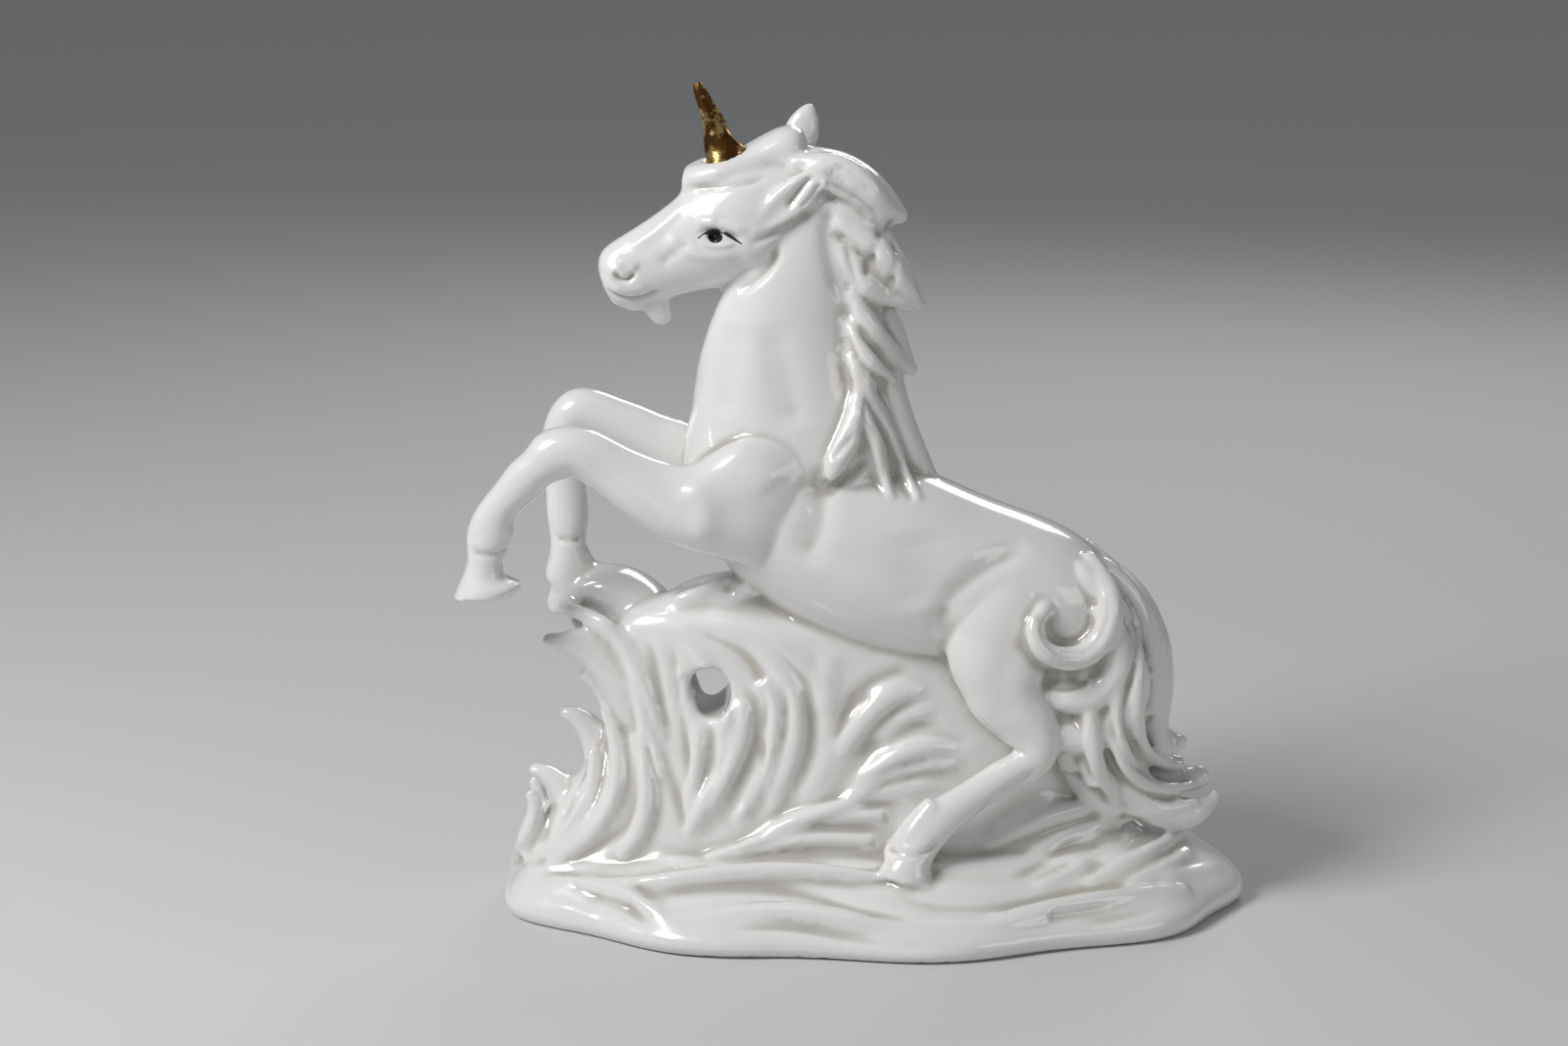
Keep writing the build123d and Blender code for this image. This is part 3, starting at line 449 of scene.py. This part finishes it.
def strand_mesh(name, points, radii):
    """A round strand along the points, as a mesh."""
    data = bpy.data.curves.new(name, "CURVE")
    data.dimensions = "3D"
    data.bevel_depth = mm
    data.bevel_resolution = 3
    data.use_fill_caps = True
    data.resolution_u = 6
    spline = data.splines.new("NURBS")
    spline.points.add(len(points) - 1)
    for slot, point, radius in zip(spline.points, points, radii):
        slot.co = (*point, 1)
        slot.radius = radius
    spline.order_u = 3
    spline.use_endpoint_u = True
    holder = put(name, data)
    bpy.context.view_layer.update()
    mesh = bpy.data.meshes.new_from_object(holder)
    bpy.data.objects.remove(holder)
    return mesh


def lay_strands(body, tree, strands):
    """Adds the strands, on one or both sides, to a bmesh."""
    for one in strands:
        pixels = [(u, v) for u, v, _ in one["places"]]
        radii = [radius for _, _, radius in one["places"]]
        if one["depth"] is None:
            near = on_surface(tree, pixels)
            far = on_far_side(tree, near)
        else:
            near = [at_depth(u, v, -one["depth"] * mm) for u, v in pixels]
            far = [Vector((point.x, -point.y, point.z)) for point in near]
        sides = [near, far] if one["both"] else [near]
        for points in sides:
            mesh = strand_mesh("strand", points, radii)
            body.from_mesh(mesh)
            bpy.data.meshes.remove(mesh)


def tree_of(shape):
    """What finds the nearest or the first point of a bmesh."""
    return BVHTree.FromBMesh(shape)


def places_and_normals(mesh):
    """A mesh's vertices and their normals, as arrays."""
    count = len(mesh.vertices)
    places = np.empty(count * 3)
    mesh.vertices.foreach_get("co", places)
    normals = np.empty(count * 3)
    mesh.vertex_normals.foreach_get("vector", normals)
    return places.reshape(-1, 3), normals.reshape(-1, 3)


def glazed(skin, passes):
    """The skin's mesh after its modifiers and the glaze's smoothing; the skin is removed."""
    soften = skin.modifiers.new("glaze", "SMOOTH")
    soften.factor = glaze_strength
    soften.iterations = passes
    bpy.context.view_layer.update()
    evaluated = skin.evaluated_get(bpy.context.evaluated_depsgraph_get())
    mesh = bpy.data.meshes.new_from_object(evaluated)
    bpy.data.objects.remove(skin)
    return mesh


def rounded(points):
    """A line of points with its corners cut, its ends kept."""
    route = np.array([tuple(point) for point in points])
    for _ in range(2):
        before = route[:-1] * 0.75 + route[1:] * 0.25
        after = route[:-1] * 0.25 + route[1:] * 0.75
        middle = np.stack([before, after], axis=1).reshape(-1, 3)[1:-1]
        route = np.concatenate([route[:1], middle, route[-1:]])
    return route


def work_lines(mesh, lines):
    """Raises ridges and presses grooves along the lines, across the surface's own normals."""
    places, normals = places_and_normals(mesh)
    count = len(places)
    shape = bmesh.new()
    shape.from_mesh(mesh)
    tree = tree_of(shape)
    shape.free()
    moved = np.zeros(count)
    for one in lines:
        near = on_surface(tree, one["places"])
        sides = [(near, -1.0)]
        if one["both"]:
            sides.append((on_far_side(tree, near), 1.0))
        reach = max(one["widths"]) * line_reach * mm
        for route, facing in sides:
            route = rounded(route)
            low = route.min(0) - reach
            high = route.max(0) + reach
            close = np.all((places > low) & (places < high), axis=1)
            close &= normals[:, 1] * facing > line_facing
            index = np.nonzero(close)[0]
            if not len(index):
                continue
            here = places[index]
            lengths = np.linalg.norm(np.diff(route, axis=0), axis=1)
            before = np.concatenate([[0], np.cumsum(lengths)])
            best = np.full(len(index), 1e9)
            run = np.zeros(len(index))
            lean = np.zeros(len(index))
            for step in range(len(route) - 1):
                along = route[step + 1] - route[step]
                share = np.clip(((here - route[step]) @ along) / (along @ along), 0, 1)
                gap = here - route[step] - share[:, None] * along
                far = np.linalg.norm(gap, axis=1)
                nearer = far < best
                best = np.where(nearer, far, best)
                run = np.where(nearer, before[step] + share * lengths[step], run)
                turn = np.einsum("ij,ij->i", np.cross(along[None], gap), normals[index])
                lean = np.where(nearer, turn, lean)
            width = np.where(lean * facing < 0, one["widths"][0], one["widths"][1]) * mm
            swell = np.exp(-((best / width) ** 2))
            if one["taper"]:
                ends = np.clip(run / before[-1], 0, 1)
                swell = swell * np.clip(4 * ends * (1 - ends) * line_taper, 0, 1)
            moved[index] += one["height"] * mm * swell
    places += normals * moved[:, None]
    mesh.vertices.foreach_set("co", places.reshape(-1))
    mesh.update()


def refine_head(mesh):
    """Splits the skin's cells on the head, which carries the finest forms, and softens them."""
    low, high = (Vector(corner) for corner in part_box("head"))
    rise = 14 * mm
    back = 12 * mm
    shape = bmesh.new()
    shape.from_mesh(mesh)
    inside = {
        vert
        for vert in shape.verts
        if vert.co.x < high.x + back and low.z - rise / 2 < vert.co.z < high.z + rise
    }
    edges = [edge for edge in shape.edges if all(vert in inside for vert in edge.verts)]
    bmesh.ops.subdivide_edges(shape, edges=edges, cuts=1, use_grid_fill=True)
    fine = [
        vert
        for vert in shape.verts
        if vert.co.x < high.x + back and vert.co.z > low.z - rise / 2
    ]
    for _ in range(head_passes):
        bmesh.ops.smooth_vert(
            shape, verts=fine, factor=0.5, use_axis_x=True, use_axis_y=True, use_axis_z=True
        )
    shape.to_mesh(mesh)
    shape.free()
    mesh.update()


def evened(mesh, places, passes):
    """Every vertex moved to the mean of its neighbours, a number of times."""
    count = len(places)
    edges = np.empty(len(mesh.edges) * 2, dtype=np.int64)
    mesh.edges.foreach_get("vertices", edges)
    edges = edges.reshape(-1, 2)
    degree = np.maximum(np.bincount(edges.reshape(-1), minlength=count), 1)
    mean = places.copy()
    for _ in range(passes):
        total = np.zeros_like(mean)
        for axis in range(3):
            total[:, axis] = np.bincount(edges[:, 0], mean[edges[:, 1], axis], count)
            total[:, axis] += np.bincount(edges[:, 1], mean[edges[:, 0], axis], count)
        mean = total / degree[:, None]
    return mean


def soften_water(mesh, owner):
    """Rounds the wave and the foot further than the horse, as their moulds are the blunter."""
    places, _ = places_and_normals(mesh)
    share = np.zeros(len(places))
    for face in mesh.polygons:
        if glazed_nodes[owner[face.index]] in ("wave", "base"):
            share[list(face.vertices)] = 1
    share = evened(mesh, np.repeat(share[:, None], 3, axis=1), border_passes)
    places += (evened(mesh, places, water_passes) - places) * share
    mesh.vertices.foreach_set("co", places.reshape(-1))
    mesh.update()


def hollows(mesh):
    """How far each point lies in a hollow, from 0 to 1, for the painted shade there."""
    places, normals = places_and_normals(mesh)
    sunk = evened(mesh, places, hollow_passes) - places
    return np.clip(np.einsum("ij,ij->i", sunk, normals) / hollow_depth, 0, 1)


def shader(name):
    """A new material, its node tree and its Principled shader."""
    material = bpy.data.materials.new(name)
    material.use_nodes = True
    tree = material.node_tree
    return material, tree, tree.nodes["Principled BSDF"]


def noise(tree, scale, detail=3.0, roughness=0.5):
    """Noise on Object coordinates; scale is in lumps per metre."""
    coordinates = tree.nodes.new("ShaderNodeTexCoord")
    texture = tree.nodes.new("ShaderNodeTexNoise")
    texture.inputs["Scale"].default_value = scale
    texture.inputs["Detail"].default_value = detail
    texture.inputs["Roughness"].default_value = roughness
    tree.links.new(coordinates.outputs["Object"], texture.inputs["Vector"])
    return texture


def ramp(tree, source, stops):
    """A colour ramp fed by a value; stops are (place, colour)."""
    node = tree.nodes.new("ShaderNodeValToRGB")
    while len(node.color_ramp.elements) < len(stops):
        node.color_ramp.elements.new(0.5)
    for element, (place, colour) in zip(node.color_ramp.elements, stops):
        element.position = place
        element.color = (*colour, 1)
    tree.links.new(source, node.inputs["Fac"])
    return node


def porcelain():
    """White glazed porcelain: painted shade in the hollows, faint stains darkened with it there,
    soft ripples.
    """
    material, tree, skin_shader = shader("white_glaze")
    hollow = tree.nodes.new("ShaderNodeAttribute")
    hollow.attribute_name = "hollow"
    # Painted shade: the glaze turns darker with the depth of the hollow.
    shade_ramp = ramp(tree, hollow.outputs["Fac"], [(0.1, white_glaze), (0.9, painted_shade_glaze)])
    stains = noise(tree, 26, 4, 0.6)
    stain_mask = ramp(tree, stains.outputs["Fac"], [(0.58, (0, 0, 0)), (0.74, (1, 1, 1))])
    # The stains show only in the hollows, at the darkness of the painted shade there.
    both = tree.nodes.new("ShaderNodeMath")
    both.operation = "MULTIPLY"
    tree.links.new(hollow.outputs["Fac"], both.inputs[0])
    tree.links.new(stain_mask.outputs["Color"], both.inputs[1])
    mixed = tree.nodes.new("ShaderNodeMix")
    mixed.data_type = "RGBA"
    tree.links.new(both.outputs["Value"], mixed.inputs["Factor"])
    tree.links.new(shade_ramp.outputs["Color"], mixed.inputs["A"])
    mixed.inputs["B"].default_value = (*stained_painted_shade, 1)
    tree.links.new(mixed.outputs["Result"], skin_shader.inputs["Base Color"])
    skin_shader.inputs["Roughness"].default_value = 0.22
    skin_shader.inputs["IOR"].default_value = 1.5
    skin_shader.inputs["Coat Weight"].default_value = 1.0
    skin_shader.inputs["Coat Roughness"].default_value = 0.03
    ripple = noise(tree, 160, 2, 0.4)
    bump = tree.nodes.new("ShaderNodeBump")
    bump.inputs["Strength"].default_value = 0.12
    bump.inputs["Distance"].default_value = 0.0002
    tree.links.new(ripple.outputs["Fac"], bump.inputs["Height"])
    tree.links.new(bump.outputs["Normal"], skin_shader.inputs["Normal"])
    tree.links.new(bump.outputs["Normal"], skin_shader.inputs["Coat Normal"])
    return material


def gilding():
    """Gold lustre, worn to a dark brown ground in patches."""
    material, tree, gold = shader("worn_gilding")
    wear = noise(tree, 330, 6, 0.62)
    colour = ramp(tree, wear.outputs["Fac"], [(0.49, gold_dark), (0.56, gold_bright)])
    rough = ramp(tree, wear.outputs["Fac"], [(0.44, (0.45,) * 3), (0.54, (0.16,) * 3)])
    tree.links.new(colour.outputs["Color"], gold.inputs["Base Color"])
    tree.links.new(rough.outputs["Color"], gold.inputs["Roughness"])
    gold.inputs["Metallic"].default_value = 1.0
    bump = tree.nodes.new("ShaderNodeBump")
    bump.inputs["Strength"].default_value = 0.4
    bump.inputs["Distance"].default_value = 0.0003
    tree.links.new(wear.outputs["Fac"], bump.inputs["Height"])
    tree.links.new(bump.outputs["Normal"], gold.inputs["Normal"])
    return material


def eye_paint():
    """Black paint over the glaze, with a slightly uneven gloss."""
    material, tree, paint = shader("eye_paint")
    cloud = noise(tree, 900, 3, 0.5)
    colour = ramp(tree, cloud.outputs["Fac"], [(0.3, paint_black), (0.8, (0.03, 0.026, 0.022))])
    rough = ramp(tree, cloud.outputs["Fac"], [(0.3, (0.12,) * 3), (0.8, (0.25,) * 3)])
    tree.links.new(colour.outputs["Color"], paint.inputs["Base Color"])
    tree.links.new(rough.outputs["Color"], paint.inputs["Roughness"])
    return material


def nearest_nodes(mesh):
    """For each face, the index of the CAD node whose surface is nearest."""
    centres = np.empty(len(mesh.polygons) * 3)
    mesh.polygons.foreach_get("center", centres)
    centres = centres.reshape(-1, 3)
    best = np.full(len(centres), 1e9)
    owner = np.zeros(len(centres), dtype=np.int64)
    for number, name in enumerate(glazed_nodes):
        tree = tree_of(cad_shapes[name])
        low, high = (np.array(corner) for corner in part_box(name))
        close = (centres > low - node_margin) & (centres < high + node_margin)
        for face in np.nonzero(np.all(close, axis=1))[0]:
            far = tree.find_nearest(centres[face], best[face])[3]
            if far is not None and far < best[face]:
                best[face] = far
                owner[face] = number
    return owner


def give_wall(shape, places, normals, unseen):
    """Makes a piece of the skin a closed thin wall, its inner face offset from the outer one."""
    index_layer = shape.verts.layers.int["index"]
    hidden = [vert for vert in shape.verts if unseen[vert[index_layer]]]
    if hidden:
        bmesh.ops.unsubdivide(shape, verts=hidden, iterations=underside_merges)
    before = set(shape.verts)
    sample = shape.faces[:200]
    bmesh.ops.solidify(shape, geom=shape.faces[:], thickness=wall)
    shape.normal_update()
    facing = sum(face.normal.dot(Vector(normals[face.verts[0][index_layer]])) for face in sample)
    inner = []
    for vert in shape.verts:
        source = vert[index_layer]
        if (vert in before) == (facing > 0):
            vert.co = places[source]
        else:
            vert.co = places[source] - normals[source] * wall
            vert[index_layer] = -1
            inner.append(vert)
    deep = [
        vert
        for vert in inner
        if all(edge.other_vert(vert)[index_layer] < 0 for edge in vert.link_edges)
    ]
    bmesh.ops.unsubdivide(shape, verts=deep, iterations=inner_merges)


def whole_patches(mesh, owner):
    """Gives every patch of skin that is too small to be its node's own to the patch round it."""
    shape = bmesh.new()
    shape.from_mesh(mesh)
    shape.faces.ensure_lookup_table()
    near = [[] for _ in shape.faces]
    for edge in shape.edges:
        if len(edge.link_faces) == 2:
            one, two = (face.index for face in edge.link_faces)
            near[one].append(two)
            near[two].append(one)
    shape.free()
    for _ in range(2):
        seen = np.zeros(len(near), dtype=bool)
        for start in range(len(near)):
            if seen[start]:
                continue
            seen[start] = True
            patch = [start]
            border = []
            for face in patch:
                for other in near[face]:
                    if owner[other] != owner[start]:
                        border.append(owner[other])
                    elif not seen[other]:
                        seen[other] = True
                        patch.append(other)
            if len(patch) < smallest_patch and border:
                owner[patch] = np.bincount(border).argmax()
    return owner


def paint_eye(name, far):
    """One painted eye on the near or the far side of the finished skin."""
    body = bmesh.new()
    ball = bmesh.ops.create_uvsphere(body, u_segments=32, v_segments=16, radius=1)["verts"]
    spots = [(eye_u + vert.co.x * eye_reach_u, eye_v - vert.co.y * eye_reach_v) for vert in ball]
    lifts = [vert.co.z * eye_rise for vert in ball]
    hits = [skin_tree.ray_cast(camera_place, aim(*spot))[0] for spot in spots]
    lash = on_surface(skin_tree, lash_places)
    if far:
        hits = on_far_side(skin_tree, hits)
        lash = on_far_side(skin_tree, lash)
    for vert, hit, lift in zip(ball, hits, lifts):
        vert.co = hit + skin_tree.find_nearest(hit)[1] * lift
    line_mesh = strand_mesh("lash", lash, lash_radii)
    body.from_mesh(line_mesh)
    bpy.data.meshes.remove(line_mesh)
    bmesh.ops.recalc_face_normals(body, faces=body.faces)
    for face in body.faces:
        face.smooth = True
    mesh = bpy.data.meshes.new(name + "_paint")
    body.to_mesh(mesh)
    body.free()
    piece = put(name + "_paint", mesh)
    piece.data.materials.append(black)
    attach(piece, "root")
    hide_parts(name)


def soft_box(name, place, target, width, height, power):
    """A rectangular lamp that looks at a point."""
    data = bpy.data.lights.new(name, "AREA")
    data.shape = "RECTANGLE"
    data.size = width
    data.size_y = height
    data.energy = power
    lamp = put(name, data)
    lamp.location = place
    lamp.rotation_euler = (Vector(target) - Vector(place)).to_track_quat("-Z", "Y").to_euler()


# The joined skin.
cad_shapes = {name: outer_shells(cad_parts[name].data) for name in glazed_nodes}
joined = bmesh.new()
for name in glazed_nodes:
    part = bpy.data.meshes.new("part")
    cad_shapes[name].to_mesh(part)
    joined.from_mesh(part)
    bpy.data.meshes.remove(part)
cad_tree = tree_of(joined)
lay_strands(joined, cad_tree, water_strands + hair_strands + tail_strands + hoof_strands)

skin_mesh = bpy.data.meshes.new("skin")
joined.to_mesh(skin_mesh)
joined.free()
skin = put("skin", skin_mesh)
remesh = skin.modifiers.new("cells", "REMESH")
remesh.mode = "VOXEL"
remesh.voxel_size = cell
remesh.use_smooth_shade = True
smooth_mesh = glazed(skin, glaze_passes)

refine_head(smooth_mesh)
work_lines(smooth_mesh, face_lines + limb_lines + water_lines + hair_lines + tail_lines)
final_mesh = glazed(put("skin", smooth_mesh), after_passes)

# The materials, and the pieces, one for each porcelain node.
glaze = porcelain()
gold = gilding()
black = eye_paint()
owners = whole_patches(final_mesh, nearest_nodes(final_mesh))
soften_water(final_mesh, owners)
# How deep each point lies in a hollow, which sets the painted shade of the glaze.
store = final_mesh.attributes.new("hollow", "FLOAT", "POINT")
store.data.foreach_set("value", hollows(final_mesh).astype(np.float32))
places, normals = places_and_normals(final_mesh)

# The foot's underside and the floor of its hollow aren't seen, so their faces are merged further.
hollow_floor = 4.2 * mm
level = (normals[:, 2] > 0.95) & (places[:, 2] < hollow_floor)
under_foot = (normals[:, 2] < -0.5) | level
nowhere = np.zeros(len(places), dtype=bool)

for number, name in enumerate(glazed_nodes):
    shape = bmesh.new()
    shape.from_mesh(final_mesh)
    index_layer = shape.verts.layers.int.new("index")
    for vert in shape.verts:
        vert[index_layer] = vert.index
    shape.faces.ensure_lookup_table()
    others = [face for face, owner in zip(shape.faces, owners) if owner != number]
    bmesh.ops.delete(shape, geom=others, context="FACES")
    give_wall(shape, places, normals, under_foot if name == "base" else nowhere)
    mesh = bpy.data.meshes.new(name + "_glazed")
    shape.to_mesh(mesh)
    kept = np.array([vert[index_layer] for vert in shape.verts], dtype=np.int64)
    shape.free()
    mesh.polygons.foreach_set("use_smooth", [True] * len(mesh.polygons))
    given = np.where((kept >= 0)[:, None], normals[kept], 0)
    mesh.normals_split_custom_set_from_vertices(given.tolist())
    piece = put(name + "_glazed", mesh)
    piece.data.materials.append(glaze)
    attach(piece, "root")
    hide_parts(name)

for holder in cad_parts["horn"].material_slots:
    holder.material = gold

# The eyes are painted on the finished skin.
skin_shape = bmesh.new()
skin_shape.from_mesh(final_mesh)
skin_tree = tree_of(skin_shape)
skin_shape.free()
paint_eye("eye_near", False)
paint_eye("eye_far", True)

# Floor, light and camera.
floor_reach = 9.0
floor_colour = (0.64, 0.635, 0.63)
floor_mesh = bmesh.new()
bmesh.ops.create_grid(floor_mesh, x_segments=1, y_segments=1, size=floor_reach)
floor_data = bpy.data.meshes.new("floor")
floor_mesh.to_mesh(floor_data)
floor_mesh.free()
floor = put("floor", floor_data)
floor_material, floor_tree, floor_shader = shader("floor_paper")
floor_shader.inputs["Base Color"].default_value = (*floor_colour, 1)
floor_shader.inputs["Roughness"].default_value = 0.9
floor.data.materials.append(floor_material)

world = bpy.data.worlds.new("studio")
bpy.context.scene.world = world
world.use_nodes = True
sky = world.node_tree.nodes["Background"]
sky.inputs["Color"].default_value = (0.72, 0.74, 0.77, 1)
sky.inputs["Strength"].default_value = 0.26

middle = (0.0, 0.0, 0.09)
soft_box("window", (-0.60, -0.40, 0.70), middle, 0.35, 0.35, 6.9)
soft_box("fill", (0.8, -0.7, 0.40), middle, 0.5, 0.4, 0.9)
soft_box("rim", (0.3, 0.8, 0.7), middle, 0.5, 0.3, 2.0)

camera_data = bpy.data.cameras.new("camera")
camera_data.lens = lens_mm
camera_data.sensor_width = sensor_mm
camera = put("camera", camera_data)
camera.location = camera_place
camera.rotation_euler = (radians(90) - pitch, 0, 0)
bpy.context.scene.camera = camera
bpy.context.scene.view_settings.view_transform = "Standard"
